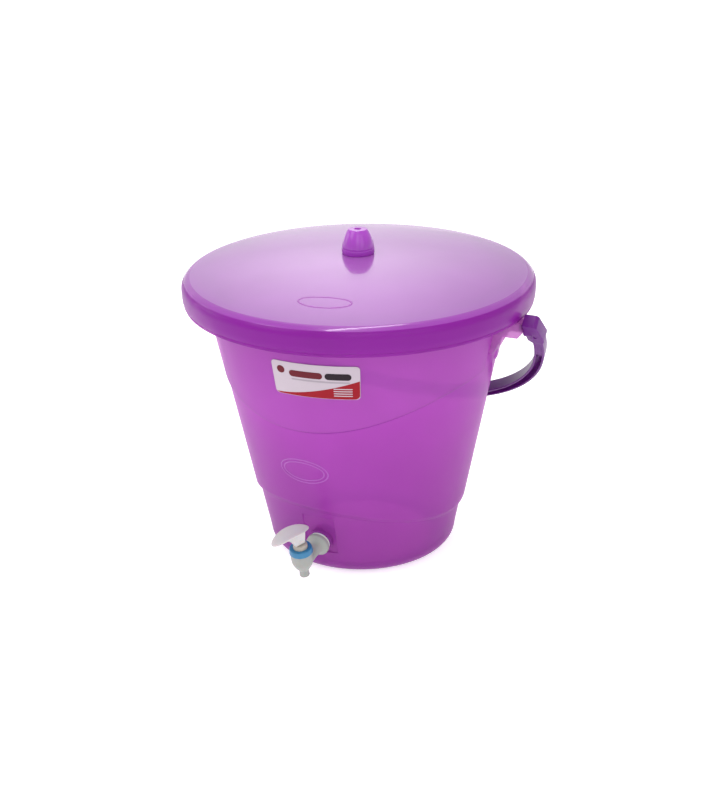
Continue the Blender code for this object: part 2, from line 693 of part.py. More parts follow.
def make_lever(plastic, frame):
    """An oval paddle on a forked web. The fork straddles the top of the stem."""
    bm = bmesh.new()
    bmesh.ops.create_uvsphere(bm, u_segments=28, v_segments=12, radius=1.0)
    bmesh.ops.scale(bm, vec=(PADDLE_HALF_WIDTH, PADDLE_HALF_LENGTH, 0.0024), verts=bm.verts)
    for vert in bm.verts:
        across, along = vert.co.x / PADDLE_HALF_WIDTH, vert.co.y / PADDLE_HALF_LENGTH
        vert.co.z += 0.0030 * across ** 2 - 0.0018 * along ** 2
    bmesh.ops.rotate(bm, cent=(0, 0, 0), matrix=Matrix.Rotation(PADDLE_TILT, 3, "X"), verts=bm.verts)
    bmesh.ops.translate(bm, vec=(0.0, -0.0110, 0.0118), verts=bm.verts)
    lever = object_from_bmesh("tap_lever", bm, plastic)
    bm = bmesh.new()
    face = bm.faces.new([bm.verts.new((-0.0043, y, z)) for y, z in lever_web_outline()])
    made = bmesh.ops.extrude_face_region(bm, geom=[face])
    moved = [v for v in made["geom"] if isinstance(v, bmesh.types.BMVert)]
    bmesh.ops.translate(bm, vec=(0.0086, 0.0, 0.0), verts=moved)
    web = object_from_bmesh("lever_web", bm)
    slot = box("lever_slot", (-0.0021, -0.0060, -0.0100), (0.0021, 0.0080, 0.0040))
    pin_hole = rod("lever_pin_hole", 0.0012, (-0.008, 0, 0), (0.008, 0, 0), sides=16)
    for piece in (lever, web, slot, pin_hole):
        piece.parent = frame
    join(lever, web)
    cut(lever, slot, pin_hole)
    return lever


def make_lever_pin(steel, frame):
    pin = rod("tap_lever_pin", 0.00115, (-0.0041, 0, 0), (0.0041, 0, 0), steel, sides=16)
    pin.parent = frame
    return pin


def frame_at(name, location, rotation, parent=None):
    empty = bpy.data.objects.new(name, None)
    empty.location = location
    empty.rotation_euler = rotation
    empty.parent = parent
    bpy.data.collections[PART].objects.link(empty)
    return empty


def main():
    clear_scene()
    violet = material("violet_plastic", (0.36, 0.05, 0.42), 0.32)
    dark_violet = material("dark_violet_plastic", (0.10, 0.01, 0.15), 0.30)
    white = material("white_plastic", (0.72, 0.71, 0.69), 0.40)
    blue = material("blue_plastic", (0.05, 0.23, 0.55), 0.35)
    silicone = material("clear_silicone", (0.70, 0.70, 0.68), 0.55)
    steel = material("stainless_steel", (0.60, 0.60, 0.60), 0.28, 1.0)
    paper = material("label_film", (0.80, 0.78, 0.80), 0.45)

    bail_pivot = frame_at("bail_pivot", (0.0, 0.0, PIVOT_HEIGHT), (-BAIL_LEAN, 0.0, 0.0))
    tap = frame_at("tap_frame", TAP_FRAME, (WALL_LEAN, 0.0, 0.0))
    lever_pivot = frame_at(
        "lever_pivot", (0.0, TAP_AXIS_Y, LEVER_PIN_HEIGHT), (0.0, 0.0, TAP_TURN), tap
    )
    make_bucket(violet, tap)
    make_lid(violet)
    make_knob(violet)
    make_knob_screw(steel)
    make_bail(dark_violet, bail_pivot)
    make_label(paper)
    make_tap_body(white, tap)
    make_tap_seals(silicone, tap)
    make_back_nut(white, tap)
    make_valve(white, silicone, steel, tap, lever_pivot)
    make_bonnet(white, tap)
    make_collar(blue, tap)
    make_lever(white, lever_pivot)
    make_lever_pin(steel, lever_pivot)


main()
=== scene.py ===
"""Looks for the translucent bucket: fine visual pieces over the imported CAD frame.

Metres, +Z up, in the frame of the CAD part. The tap points along -Y and the bail swings about X.
"""

import math

import bmesh
import bpy
from mathutils import Matrix, Vector


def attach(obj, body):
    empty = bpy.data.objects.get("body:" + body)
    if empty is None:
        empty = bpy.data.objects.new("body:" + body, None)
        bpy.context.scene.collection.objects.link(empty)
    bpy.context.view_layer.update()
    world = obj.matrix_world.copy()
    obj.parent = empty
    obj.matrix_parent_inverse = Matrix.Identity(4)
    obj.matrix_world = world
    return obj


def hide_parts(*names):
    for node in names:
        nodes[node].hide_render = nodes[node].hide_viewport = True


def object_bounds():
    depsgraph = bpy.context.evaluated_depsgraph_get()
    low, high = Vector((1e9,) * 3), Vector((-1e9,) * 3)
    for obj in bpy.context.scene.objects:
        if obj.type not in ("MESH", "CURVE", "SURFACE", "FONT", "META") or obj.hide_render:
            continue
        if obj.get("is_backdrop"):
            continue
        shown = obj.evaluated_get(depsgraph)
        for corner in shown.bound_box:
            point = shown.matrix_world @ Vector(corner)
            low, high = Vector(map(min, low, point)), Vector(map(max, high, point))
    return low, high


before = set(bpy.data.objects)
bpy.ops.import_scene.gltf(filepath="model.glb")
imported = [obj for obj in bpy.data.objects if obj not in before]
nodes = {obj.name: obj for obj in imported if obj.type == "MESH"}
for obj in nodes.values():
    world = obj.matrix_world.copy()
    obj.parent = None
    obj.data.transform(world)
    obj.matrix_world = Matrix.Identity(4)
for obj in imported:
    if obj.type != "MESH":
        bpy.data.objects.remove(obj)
cad_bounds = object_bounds()

# ---------------------------------------------------------------- dimensions, as in the CAD part

WALL_RADIUS = 0.1158
WALL_TAPER = 0.198
WALL_THICKNESS = 0.0024
BAND_RISE = 0.0018
TUCK_DEPTH = 0.0040
RIM_TOP = 0.3334
RIM_RADIUS = 0.1915
RIM_UNDERSIDE = 0.3250
LIP_BOTTOM = 0.3170
LIP_THICKNESS = 0.0022
CORNER_RADIUS = 0.020
FOOT_RECESS = 0.0030
FOOT_RING = 0.012
PIVOT_HEIGHT = 0.3000
EAR_REACH = 0.2066
EAR_TOP = 0.3100
EAR_BOTTOM = 0.2910
EAR_HALF_WIDTH = 0.0130
EAR_PLATE = 0.0030
EAR_FLAT_HALF_WIDTH = 0.020
PIVOT_HOLE_RADIUS = 0.0041
LID_RADIUS = 0.2085
LID_TOP = 0.3670
LID_CROWN = 0.0205
LID_CROWN_RADIUS = 0.200
LID_THICKNESS = 0.0022
SKIRT_BOTTOM = 0.3135
SKIRT_RADIUS = 0.2055
LID_SPIGOT_RADIUS = 0.1765
BOSS_RADIUS = 0.0060
BOSS_HEIGHT = 0.0150
KNOB_HEIGHT = 0.0285
KNOB_BASE_RADIUS = 0.0190
KNOB_TOP_RADIUS = 0.0115
BAIL_INNER_X = 0.2150
BAIL_INNER_REACH = 0.2185
BAIL_THICKNESS = 0.0120
BAIL_WIDTH = 0.0160
BAIL_TAIL = 0.0215
SOLID_ARM = 13.0
BAIL_END_INNER = 0.2092
BAIL_END_OUTER = 0.2290
KNUCKLE_RADIUS = 0.0085
BAIL_LEAN = math.radians(46.0)
WALL_LEAN = math.atan(WALL_TAPER)
TAP_FRAME = (0.0, -0.1185, 0.0460)
TAP_AXIS_Y = -0.0500
TAP_TURN = math.radians(-30.0)
PAD_HALF_WIDTH = 0.0205
PAD_BOTTOM = -0.0165
PAD_TOP = 0.0350
PAD_THICKNESS = 0.0028
SHANK_RADIUS = 0.0080
LEVER_PIN_HEIGHT = 0.0390
PADDLE_HALF_WIDTH = 0.0112
PADDLE_HALF_LENGTH = 0.0250
PADDLE_TILT = math.radians(2.0)
GASKET = 0.0030
TAP_BOSS = 0.0045
TAP_BOSS_RADIUS = 0.0150
GAP = 0.0003

# ---------------------------------------------------------------- dimensions of the looks only

LID_RIBS = 9
OVAL_CENTRE = math.radians(-3.0)
OVAL_HEIGHT = 0.1455
LID_OVAL_CENTRE = math.radians(10.5)
LID_OVAL_RADIUS = 0.150
OVAL_RISE = 0.0007
LABEL_CENTRE = math.radians(8.0)
LABEL_MIDDLE = 0.2710
LABEL_HALF_WIDTH = 0.0500
LABEL_HALF_HEIGHT = 0.0210
LABEL_CORNER = 0.0048
CLEAR_TINT = (0.80, 0.54, 0.76)  # what the plastic does to light that passes straight through
FADE_TOP = 0.22  # the height from which painted shade darkens the bucket's colour downwards
CAMERA_AZIMUTH = 25.0
CAMERA_PITCH = 22.74
CAMERA_YAW = 0.11
CAMERA_ROLL = 0.0182
CAMERA_DISTANCE = 1.6
CAMERA_HEIGHT = 0.850
CAMERA_LENS = 70.2
SKY_STRENGTH = 0.96
SKY_BAND_STRENGTH = 1.9
SKY_BAND_ACROSS = (0.906, 0.423, 0.0)
SKY_BAND_OFFSET = 0.03
SKY_BAND_HALF_WIDTH = 0.30
FLOOR_RADIUS = 30.0
FLOOR_DROP = 0.0005
FLOOR_GLOW = 0.55


# ---------------------------------------------------------------- materials


class Nodes:
    """A new material's node tree, with short calls to add nodes and links."""

    def __init__(self, name):
        self.material = bpy.data.materials.new(name)
        self.material.use_nodes = True
        self.tree = self.material.node_tree
        self.tree.nodes.clear()
        self.out = self.add("ShaderNodeOutputMaterial")

    def add(self, kind, **settings):
        node = self.tree.nodes.new(kind)
        for key, value in settings.items():
            if key.startswith("in_"):
                node.inputs[key[3:].replace("_", " ")].default_value = value
            else:
                setattr(node, key, value)
        return node

    def link(self, source, output, target, socket):
        self.tree.links.new(source.outputs[output], target.inputs[socket])

    def surface(self, shader):
        self.link(shader, 0, self.out, "Surface")

    def noise(self, scale, detail=3.0):
        coordinates = self.add("ShaderNodeTexCoord")
        noise = self.add("ShaderNodeTexNoise", in_Scale=scale, in_Detail=detail, in_Roughness=0.55)
        self.link(coordinates, "Object", noise, "Vector")
        return noise

    def ramp(self, source, low, high):
        """From the colour low to the colour high over the middle of the source's range."""
        ramp = self.add("ShaderNodeValToRGB")
        steps = ramp.color_ramp.elements
        steps[0].position, steps[0].color = 0.35, (*low, 1.0)
        steps[1].position, steps[1].color = 0.65, (*high, 1.0)
        self.link(source, "Fac", ramp, "Fac")
        return ramp

    def spread(self, source, low, high):
        """The source's 0 to 1 mapped to low to high."""
        mapped = self.add("ShaderNodeMapRange", in_To_Min=low, in_To_Max=high)
        self.link(source, "Fac", mapped, "Value")
        return mapped

    def bump(self, source, strength, distance):
        bump = self.add("ShaderNodeBump", in_Strength=strength, in_Distance=distance)
        self.link(source, "Fac", bump, "Height")
        return bump


def shade(colour, factor):
    return tuple(min(1.0, channel * factor) for channel in colour)


def moulded(name, colour, roughness=0.3, vary=0.06, coat=0.0, specular=0.5, subsurface=0.0):
    """Moulded plastic: faint cloudy colour, uneven gloss, and a fine surface grain."""
    n = Nodes(name)
    shader = n.add("ShaderNodeBsdfPrincipled")
    clouds = n.noise(14.0, 2.0)
    tint = n.ramp(clouds, shade(colour, 1 - vary), shade(colour, 1 + vary))
    n.link(tint, "Color", shader, "Base Color")
    gloss = n.spread(n.noise(60.0), roughness * 0.85, roughness * 1.15)
    n.link(gloss, "Result", shader, "Roughness")
    n.link(n.bump(n.noise(900.0), 0.25, 0.00006), "Normal", shader, "Normal")
    shader.inputs["Specular IOR Level"].default_value = specular
    shader.inputs["Coat Weight"].default_value = coat
    shader.inputs["Coat Roughness"].default_value = 0.08
    shader.inputs["Subsurface Weight"].default_value = subsurface
    shader.inputs["Subsurface Scale"].default_value = 0.004
    n.surface(shader)
    return n.material


def frosted(
    name, colour, glow, roughness, clear, coat=0.3, specular=0.4, soft=0.38, low=1.0, wavy=0.0
):
    """Translucent moulded plastic.

    glow is the colour of the light that passes into it and soft that light's share. clear is the
    share that is seen straight through. Where low is under 1, both colours are painted darker by
    that factor from FADE_TOP down to the floor, as painted shade where less light reaches the
    lower bucket. wavy is the strength of slow waves in the gloss of its coat.
    """
    n = Nodes(name)
    body = n.add("ShaderNodeBsdfPrincipled")
    through = n.add("ShaderNodeBsdfTranslucent", in_Color=(*glow, 1.0))
    tint = n.ramp(n.noise(9.0, 2.0), shade(colour, 0.95), shade(colour, 1.05))
    if low < 1.0:
        paint_low_shade(n, tint, glow, low, body, through)
    else:
        n.link(tint, "Color", body, "Base Color")
    gloss = n.spread(n.noise(45.0), roughness * 0.85, roughness * 1.2)
    n.link(gloss, "Result", body, "Roughness")
    n.link(n.bump(n.noise(700.0), 0.12, 0.00004), "Normal", body, "Normal")
    body.inputs["Specular IOR Level"].default_value = specular
    body.inputs["Coat Weight"].default_value = coat
    body.inputs["Coat Roughness"].default_value = 0.05
    if wavy:
        n.link(n.bump(n.noise(11.0, 2.0), wavy, 0.0012), "Normal", body, "Coat Normal")
    glowing = n.add("ShaderNodeMixShader", in_Fac=soft)
    n.link(body, 0, glowing, 1)
    n.link(through, 0, glowing, 2)
    see = n.add("ShaderNodeBsdfTransparent", in_Color=(*CLEAR_TINT, 1.0))
    mixed = n.add("ShaderNodeMixShader", in_Fac=clear)
    n.link(glowing, 0, mixed, 1)
    n.link(see, 0, mixed, 2)
    n.surface(mixed)
    return n.material


def paint_low_shade(n, tint, glow, low, body, through):
    """Painted shade: multiplies both colours by a factor that falls from 1 at FADE_TOP to low at
    the floor, so the lower bucket is darker as if less light reached it.
    """
    coordinates = n.add("ShaderNodeTexCoord")
    split = n.add("ShaderNodeSeparateXYZ")
    n.link(coordinates, "Object", split, "Vector")
    height = n.add("ShaderNodeMapRange", in_From_Max=FADE_TOP, in_To_Min=low)
    n.link(split, "Z", height, "Value")
    shaded = n.add("ShaderNodeVectorMath", operation="SCALE")
    n.link(tint, "Color", shaded, 0)
    n.link(height, "Result", shaded, "Scale")
    n.link(shaded, "Vector", body, "Base Color")
    shaded_glow = n.add("ShaderNodeVectorMath", operation="SCALE")
    shaded_glow.inputs[0].default_value = glow
    n.link(height, "Result", shaded_glow, "Scale")
    n.link(shaded_glow, "Vector", through, "Color")


def steel(name, roughness=0.25):
    n = Nodes(name)
    shader = n.add("ShaderNodeBsdfPrincipled", in_Metallic=1.0)
    tint = n.ramp(n.noise(30.0), (0.56, 0.56, 0.57), (0.66, 0.66, 0.66))
    n.link(tint, "Color", shader, "Base Color")
    gloss = n.spread(n.noise(400.0, 5.0), roughness * 0.7, roughness * 1.4)
    n.link(gloss, "Result", shader, "Roughness")
    n.link(n.bump(n.noise(1500.0), 0.2, 0.00002), "Normal", shader, "Normal")
    n.surface(shader)
    return n.material


def paint(obj, *materials):
    obj.data.materials.clear()
    for material in materials:
        obj.data.materials.append(material)


def paint_faces(obj, look, *materials):
    """Gives each face the material whose number look(face) says."""
    paint(obj, *materials)
    for face in obj.data.polygons:
        face.material_index = look(face)


def ridden(obj, body, replaced=None):
    """Says which body a piece moves with, and hides the CAD node it stands for."""
    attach(obj, body)
    if replaced:
        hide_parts(replaced)
    return obj


# ---------------------------------------------------------------- mesh tools


def new_object(name, mesh):
    obj = bpy.data.objects.new(name, mesh)
    bpy.context.scene.collection.objects.link(obj)
    return obj


def from_bmesh(name, bm, angle=35.0):
    bmesh.ops.recalc_face_normals(bm, faces=bm.faces)
    mesh = bpy.data.meshes.new(name)
    bm.to_mesh(mesh)
    bm.free()
    mesh.shade_smooth()
    mesh.set_sharp_from_angle(angle=math.radians(angle))
    return new_object(name, mesh)


def bake(obj, angle=35.0):
    """Applies the modifiers and the object's place to its mesh."""
    bpy.context.view_layer.update()
    graph = bpy.context.evaluated_depsgraph_get()
    mesh = bpy.data.meshes.new_from_object(obj.evaluated_get(graph), depsgraph=graph)
    obj.modifiers.clear()
    mesh.transform(obj.matrix_world)
    if obj.matrix_world.determinant() < 0:
        mesh.flip_normals()
    obj.parent = None
    obj.matrix_world = Matrix.Identity(4)
    obj.data = mesh
    mesh.shade_smooth()
    mesh.set_sharp_from_angle(angle=math.radians(angle))
    return obj


def combine(obj, others, operation):
    """A Boolean with each of the other objects, which are then removed."""
    for other in others:
        bake(other)
        modifier = obj.modifiers.new(other.name, "BOOLEAN")
        modifier.operation = operation
        modifier.solver = "MANIFOLD"
        modifier.object = other
        bake(obj)
    for other in others:
        bpy.data.objects.remove(other)
    return obj


def cut(obj, *others):
    return combine(obj, others, "DIFFERENCE")


def join(obj, *others):
    return combine(obj, others, "UNION")


def place(obj, matrix):
    obj.data.transform(matrix)
    return obj


def turned(name, profile, steps=96, closed=False, angle=35.0):
    """A profile of (radius, height) points turned about Z, as one closed mesh."""
    bm = bmesh.new()
    rings = []
    for radius, height in profile:
        if radius < 1e-6:
            rings.append([bm.verts.new((0.0, 0.0, height))])
            continue
        ring = []
        for i in range(steps):
            turn = 2 * math.pi * i / steps
            ring.append(bm.verts.new((radius * math.sin(turn), -radius * math.cos(turn), height)))
        rings.append(ring)
    pairs = list(zip(rings, rings[1:]))
    if closed:
        pairs.append((rings[-1], rings[0]))
    for upper, lower in pairs:
        for i in range(steps):
            j = (i + 1) % steps
            corners = [upper[i % len(upper)], upper[j % len(upper)]]
            corners += [lower[j % len(lower)], lower[i % len(lower)]]
            bm.faces.new(list(dict.fromkeys(corners)))
    return from_bmesh(name, bm, angle)


def lofted(name, rings, closed=False, angle=35.0):
    bm = bmesh.new()
    loops = [[bm.verts.new(point) for point in ring] for ring in rings]
    count = len(loops[0])
    pairs = list(zip(loops, loops[1:]))
    if closed:
        pairs.append((loops[-1], loops[0]))
    for upper, lower in pairs:
        for i in range(count):
            j = (i + 1) % count
            bm.faces.new((upper[i], upper[j], lower[j], lower[i]))
    if not closed:
        for ring, loop in ((rings[0], loops[0]), (rings[-1], loops[-1])):
            middle = bm.verts.new(sum((Vector(p) for p in ring), Vector()) / count)
            for i in range(count):
                bm.faces.new((loop[i], loop[(i + 1) % count], middle))
    return from_bmesh(name, bm, angle)


def block(name, low, high, bevel=0.0, segments=3):
    """A box with rounded edges."""
    bm = bmesh.new()
    bmesh.ops.create_cube(bm, size=1.0)
    bmesh.ops.scale(bm, vec=Vector(high) - Vector(low), verts=bm.verts)
    bmesh.ops.translate(bm, vec=(Vector(high) + Vector(low)) / 2, verts=bm.verts)
    return rounded(from_bmesh(name, bm), bevel, segments)


def rounded(obj, width, segments=3):
    if width:
        bevel = obj.modifiers.new("round", "BEVEL")
        bevel.width = width
        bevel.segments = segments
        bevel.limit_method = "ANGLE"
        bevel.angle_limit = math.radians(25.0)
        bake(obj)
    return obj


def rod(name, radius, start, end, sides=48):
    start, end = Vector(start), Vector(end)
    bm = bmesh.new()
    bmesh.ops.create_cone(
        bm, cap_ends=True, segments=sides, radius1=radius, radius2=radius,
        depth=(end - start).length,
    )
    turn = Vector((0, 0, 1)).rotation_difference(end - start).to_matrix().to_4x4()
    bmesh.ops.transform(bm, matrix=Matrix.Translation((start + end) / 2) @ turn, verts=bm.verts)
    return from_bmesh(name, bm)


def extruded(name, outline, vector, bevel=0.0, segments=3):
    """A flat outline of 3D points pushed along the vector."""
    bm = bmesh.new()
    face = bm.faces.new([bm.verts.new(point) for point in outline])
    made = bmesh.ops.extrude_face_region(bm, geom=[face])
    moved = [v for v in made["geom"] if isinstance(v, bmesh.types.BMVert)]
    bmesh.ops.translate(bm, vec=vector, verts=moved)
    return rounded(from_bmesh(name, bm), bevel, segments)


def arc(centre, radius, start, end, count):
    angles = [math.radians(start + (end - start) * i / (count - 1)) for i in range(count)]
    return [(centre[0] + radius * math.cos(a), centre[1] + radius * math.sin(a)) for a in angles]


def smooth(value, low, high):
    t = min(1.0, max(0.0, (value - low) / (high - low)))
    return t * t * (3 - 2 * t)


def spaced(start, end, count):
    return [start + (end - start) * i / (count - 1) for i in range(count)]


# ---------------------------------------------------------------- bucket


def wall_radius(height):
    return WALL_RADIUS + WALL_TAPER * height


def band_edge(angle):
    """Height of the lower edge of the raised band. The angle is from -Y towards +X."""
    return 0.2240 - 0.0228 * math.cos(2 * angle) + 0.0040 * math.sin(angle)


def tuck_edge(angle):
    tilt = 0.0130 * math.cos(angle + math.radians(12.0))
    swell = 0.0090 * math.cos(2 * angle + math.radians(20.0))
    return 0.0700 + tilt + swell


def outer_radius(angle, height):
    """The wall with its raised band and its set-in foot."""
    radius = wall_radius(height)
    across = abs(radius * math.cos(angle))
    beside_ear = smooth(across, EAR_FLAT_HALF_WIDTH - 0.0006, EAR_FLAT_HALF_WIDTH + 0.0006)
    edge = band_edge(angle)
    radius += BAND_RISE * beside_ear * smooth(height, edge - 0.0008, edge + 0.0008)
    tuck = tuck_edge(angle)
    fall = min(1.0, max(0.0, (tuck + 0.0050 - height) / 0.0075))
    return radius - TUCK_DEPTH * fall ** 1.7


def wall_heights(angle):
    band, tuck = band_edge(angle), tuck_edge(angle)
    heights = spaced(RIM_UNDERSIDE, band + 0.0022, 9)
    heights += [band + offset for offset in (0.0008, 0.0004, 0.0, -0.0004, -0.0008, -0.0020)]
    heights += spaced(band - 0.0050, tuck + 0.0090, 9)
    heights += spaced(tuck + 0.0055, tuck - 0.0030, 10)
    heights += spaced(tuck - 0.0070, CORNER_RADIUS + 0.0020, 4)
    return heights


def wall_angles():
    """Columns round the bucket, closer together at the ends of the raised band."""
    angles = set(spaced(0.0, 360.0, 181)[:-1])
    for side in (90.0, 270.0):
        for way in (-1, 1):
            angles.update(round(side + way * step, 4) for step in spaced(5.8, 7.9, 15))
    return [math.radians(angle) for angle in sorted(angles)]


def around(section_at):
    sections = []
    for angle in wall_angles():
        across, along = math.sin(angle), -math.cos(angle)
        sections.append([(r * across, r * along, z) for r, z in section_at(angle)])
    return [list(ring) for ring in zip(*sections)]


def corner_section(inset):
    centre = (wall_radius(CORNER_RADIUS) - TUCK_DEPTH - CORNER_RADIUS, CORNER_RADIUS)
    return arc(centre, CORNER_RADIUS - inset, -6.0, -90.0, 10)


def outer_section(angle):
    lip_inner = RIM_RADIUS - LIP_THICKNESS
    rim = arc((RIM_RADIUS - 0.0018, RIM_TOP - 0.0018), 0.0018, 90.0, 0.0, 5)
    rim += [(RIM_RADIUS, LIP_BOTTOM), (lip_inner, LIP_BOTTOM), (lip_inner, RIM_UNDERSIDE)]
    wall = [(outer_radius(angle, z), z) for z in wall_heights(angle)]
    corner = corner_section(0.0)
    ring_inner = corner[-1][0] - FOOT_RING
    foot = [(ring_inner, 0.0), (ring_inner - FOOT_RECESS, FOOT_RECESS)]
    return rim + wall + corner + foot


def cavity_section(angle):
    mouth = wall_radius(RIM_TOP) + BAND_RISE - WALL_THICKNESS
    top = [(mouth, RIM_TOP + 0.010), (mouth, RIM_TOP)]
    wall = [(outer_radius(angle, z) - WALL_THICKNESS, z) for z in wall_heights(angle)]
    floor = FOOT_RECESS + WALL_THICKNESS
    corner = [(r, max(z, floor)) for r, z in corner_section(WALL_THICKNESS)]
    return top + wall + corner[:7]


def ear_outline(side):
    outline = [
        (0.150, EAR_TOP), (EAR_REACH, EAR_TOP), (EAR_REACH, EAR_BOTTOM + 0.0066),
        (EAR_REACH - 0.0043, EAR_BOTTOM), (0.1850, EAR_BOTTOM), (0.1725, 0.2680), (0.150, 0.2680),
    ]
    return [(side * x, -EAR_HALF_WIDTH, z) for x, z in outline]


def tap_place():
    return Matrix.Translation(TAP_FRAME) @ Matrix.Rotation(WALL_LEAN, 4, "X")


def make_bucket():
    bucket = lofted("bucket_shell", around(outer_section))
    recess = block(
        "recess", (-PAD_HALF_WIDTH, -0.040, PAD_BOTTOM), (PAD_HALF_WIDTH, 0.0, PAD_TOP), 0.0012
    )
    cut(bucket, place(recess, tap_place()))
    for side in (-1, 1):
        ear = extruded("ear", ear_outline(side), (0.0, 2 * EAR_HALF_WIDTH, 0.0), 0.0009)
        join(bucket, ear)
    cavity = lofted("cavity", around(cavity_section))
    wide = PAD_HALF_WIDTH + WALL_THICKNESS
    pad = block(
        "pad", (-wide, -0.040, PAD_BOTTOM - WALL_THICKNESS),
        (wide, PAD_THICKNESS, PAD_TOP + WALL_THICKNESS),
    )
    cut(cavity, place(pad, tap_place()))
    cut(bucket, cavity)
    pocket_half = EAR_HALF_WIDTH - 0.0025
    for side in (-1, 1):
        ends = sorted((side * 0.1785, side * (EAR_REACH - EAR_PLATE)))
        pocket = block(
            "pocket", (ends[0], -pocket_half, 0.2600), (ends[1], pocket_half, EAR_TOP - 0.0025)
        )
        hole = rod("hole", PIVOT_HOLE_RADIUS, (side * 0.200, 0, 0.3), (side * 0.215, 0, 0.3))
        cut(bucket, pocket, hole)
    boss = rod("tap_boss", TAP_BOSS_RADIUS, (0.0, -TAP_BOSS, 0.0), (0.0, 0.0014, 0.0), sides=96)
    join(bucket, place(rounded(boss, 0.0006), tap_place()))
    shank = rod("shank", 0.0084, (0.0, -0.010, 0.0), (0.0, 0.020, 0.0))
    cut(bucket, place(shank, tap_place()))
    return ridden(bucket, "bucket", "bucket")


def bucket_look(face):
    """0 for the wall, 1 for the band, 2 for the band's edge, painted dark as shade under its ledge,
    3 for the inside, 4 for an ear.
    """
    x, y, z = face.center
    radius = math.hypot(x, y)
    if face.normal.x * x + face.normal.y * y < -0.2 * radius and radius < wall_radius(z) - 0.0008:
        return 3
    if radius < 0.085:
        return 3
    if abs(y) < 0.0134 and 0.26 < z < 0.3105 and radius > wall_radius(z) + 0.0022:
        return 4
    if z > 0.3165 or radius > wall_radius(z) + 0.0045 or radius < wall_radius(z) - 0.0080:
        return 0
    above = z - band_edge(math.atan2(x, -y))
    if abs(y) < EAR_FLAT_HALF_WIDTH:
        return 0
    if abs(above) < 0.0009:
        return 2
    return 1 if above > 0 else 0


def oval_ring(name, half_length, half_height, width, rise, place_at, steps=96):
    """A raised line along an oval. place_at turns (along, up, out) into a point."""
    rings = []
    for i in range(steps):
        turn = 2 * math.pi * i / steps
        ring = []
        for k in range(6):
            lean = math.pi * k / 5
            inward = width / 2 * math.cos(lean)
            out = rise * math.sin(lean) - 0.0002
            along = (half_length + inward) * math.cos(turn)
            up = (half_height + inward) * math.sin(turn)
            ring.append(place_at(along, up, out))
        rings.append(ring)
    return lofted(name, rings, closed=True, angle=60.0)


def on_wall(centre, middle, base):
    """Turns (along, up, out) into a point on the wall, round the angle centre."""

    def point(along, up, out):
        height = middle + up
        radius = wall_radius(height) + base + out
        angle = centre + along / wall_radius(middle)
        return (radius * math.sin(angle), -radius * math.cos(angle), height)

    return point


def make_body_ovals(look):
    place_at = on_wall(OVAL_CENTRE, OVAL_HEIGHT, 0.0)
    for name, half_length, half_height in (
        ("body_oval", 0.0310, 0.0155), ("body_oval_in", 0.0262, 0.0118),
    ):
        oval = oval_ring(name, half_length, half_height, 0.0020, OVAL_RISE, place_at)
        paint(ridden(oval, "bucket", None), look)


# ---------------------------------------------------------------- lid and knob


def dome_height(radius):
    return LID_TOP - LID_CROWN * (radius / LID_CROWN_RADIUS) ** 2


def lid_profile():
    edge_radius = 0.0130
    edge_centre = (LID_RADIUS - edge_radius, dome_height(0.197) - edge_radius)
    outer = [(0.0, LID_TOP)]
    outer += [(r, dome_height(r)) for r in spaced(0.006, 0.184, 22)]
    outer += [(0.1890, dome_height(0.1890))]
    outer += arc(edge_centre, edge_radius, 78.0, -2.0, 14)
    outer += [(LID_RADIUS - 0.0003, 0.3255), (0.2078, 0.3215), (0.2068, 0.3180), (0.2065, 0.3174)]
    outer += [(0.2068, 0.3168), (0.2065, 0.3162), (0.2060, 0.3150)]
    outer += [(SKIRT_RADIUS, SKIRT_BOTTOM + 0.0004), (SKIRT_RADIUS - 0.0005, SKIRT_BOTTOM)]
    inner = [(SKIRT_RADIUS - LID_THICKNESS, SKIRT_BOTTOM), (0.2044, 0.3180), (0.2060, 0.3250)]
    inner += arc(edge_centre, edge_radius - LID_THICKNESS, 0.0, 78.0, 9)
    inner += [(r, dome_height(r) - LID_THICKNESS) for r in spaced(0.185, 0.020, 10)]
    inner += [(0.0, LID_TOP - LID_THICKNESS)]
    return outer + inner


def spigot_profile():
    outer, inner = LID_SPIGOT_RADIUS, LID_SPIGOT_RADIUS - 0.0020
    top = dome_height(outer) - LID_THICKNESS / 2
    return [(inner, top), (outer, top), (outer, 0.3270), (inner, 0.3270)]


def on_dome(centre_angle, centre_radius):
    """Turns (along, up, out) into a point on top of the lid. Up points to the lid's centre."""

    def point(along, up, out):
        radius = centre_radius - up
        angle = centre_angle + along / centre_radius
        return (radius * math.sin(angle), -radius * math.cos(angle), dome_height(radius) + out)

    return point


def make_lid():
    lid = turned("lid_shell", lid_profile(), steps=192)
    join(lid, turned("spigot", spigot_profile(), steps=192, closed=True))
    for number in range(LID_RIBS):
        rib = block("rib", (-0.0008, 0.1755, 0.3337), (0.0008, 0.2025, 0.3428))
        skirt_rib = block("skirt_rib", (-0.0006, 0.2010, 0.3250), (0.0006, 0.2066, 0.3380))
        angle = math.radians(-4.0 + 360.0 / LID_RIBS * number) + math.pi
        turn = Matrix.Rotation(angle, 4, "Z")
        join(lid, place(rib, turn), place(skirt_rib, turn))
    boss = rod("boss", BOSS_RADIUS, (0, 0, LID_TOP - 0.001), (0, 0, LID_TOP + BOSS_HEIGHT))
    join(lid, boss)
    pilot = rod("pilot", 0.0021, (0, 0, LID_TOP + 0.001), (0, 0, LID_TOP + BOSS_HEIGHT + 0.005))
    cut(lid, pilot)
    return ridden(lid, "lid", "lid")


def make_lid_oval(look):
    place_at = on_dome(LID_OVAL_CENTRE, LID_OVAL_RADIUS)
    oval = oval_ring("lid_oval", 0.030, 0.012, 0.0022, OVAL_RISE, place_at)
    paint(ridden(oval, "lid", None), look)


